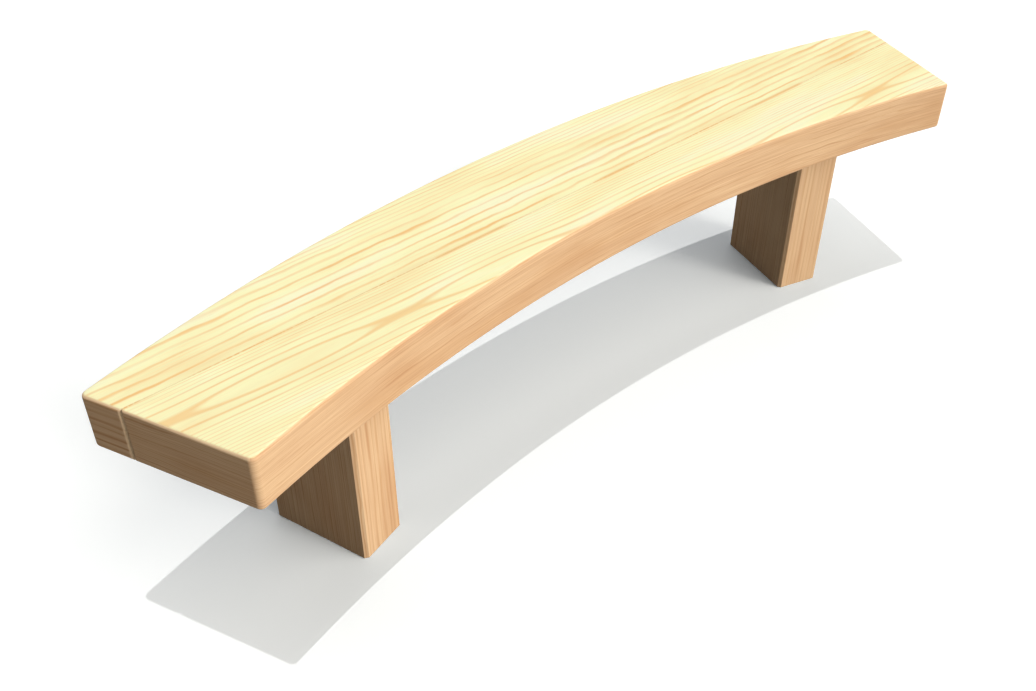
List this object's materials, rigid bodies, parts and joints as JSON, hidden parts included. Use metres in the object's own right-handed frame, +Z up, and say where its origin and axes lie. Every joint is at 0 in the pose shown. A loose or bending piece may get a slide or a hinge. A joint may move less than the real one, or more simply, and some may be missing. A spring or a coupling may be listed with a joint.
{
  "type": "garden bench",
  "caption": "Curved backless garden bench: a seat of thick timbers joined edge to edge and sawn to an arc, on block legs, held by hidden steel rods and hardwood dowels.",
  "frame": {"origin": "on the ground under the middle of the bench, at the centre of its bounding box's base, with the seam between the two seat planks above the X axis", "axes": "+X along the bench from its left end to its right end, +Y to its outer, convex side, +Z up"},
  "size_m": [1.9124, 0.4196, 0.45],
  "materials": {
    "seat_timber_outer": "planed pale softwood with straight parallel grain, matt oil",
    "seat_timber_inner": "planed pale softwood, flat sawn, with long arched grain, matt oil",
    "leg_timber": "planed pale softwood with upright grain, matt oil",
    "dowel_hardwood": "turned beech, plain",
    "plated_steel": "bright zinc plate",
    "insert_alloy": "dull cast zinc alloy"
  },
  "bodies": {
    "root": {"seat_outer_plank": "seat_timber_outer", "seat_inner_plank": "seat_timber_inner", "leg_left": "leg_timber", "leg_right": "leg_timber", "seam_dowel_1": "dowel_hardwood", "seam_dowel_2": "dowel_hardwood", "seam_dowel_3": "dowel_hardwood", "seam_dowel_4": "dowel_hardwood", "seam_dowel_5": "dowel_hardwood", "leg_dowel_left_outer": "dowel_hardwood", "leg_dowel_left_inner": "dowel_hardwood", "leg_dowel_right_outer": "dowel_hardwood", "leg_dowel_right_inner": "dowel_hardwood", "rod_left_outer": "plated_steel", "rod_left_inner": "plated_steel", "rod_right_outer": "plated_steel", "rod_right_inner": "plated_steel", "insert_left_outer": "insert_alloy", "insert_left_inner": "insert_alloy", "insert_right_outer": "insert_alloy", "insert_right_inner": "insert_alloy", "washer_left_outer": "plated_steel", "washer_left_inner": "plated_steel", "washer_right_outer": "plated_steel", "washer_right_inner": "plated_steel", "nut_left_outer": "plated_steel", "nut_left_inner": "plated_steel", "nut_right_outer": "plated_steel", "nut_right_inner": "plated_steel"}
  },
  "joints": []
}
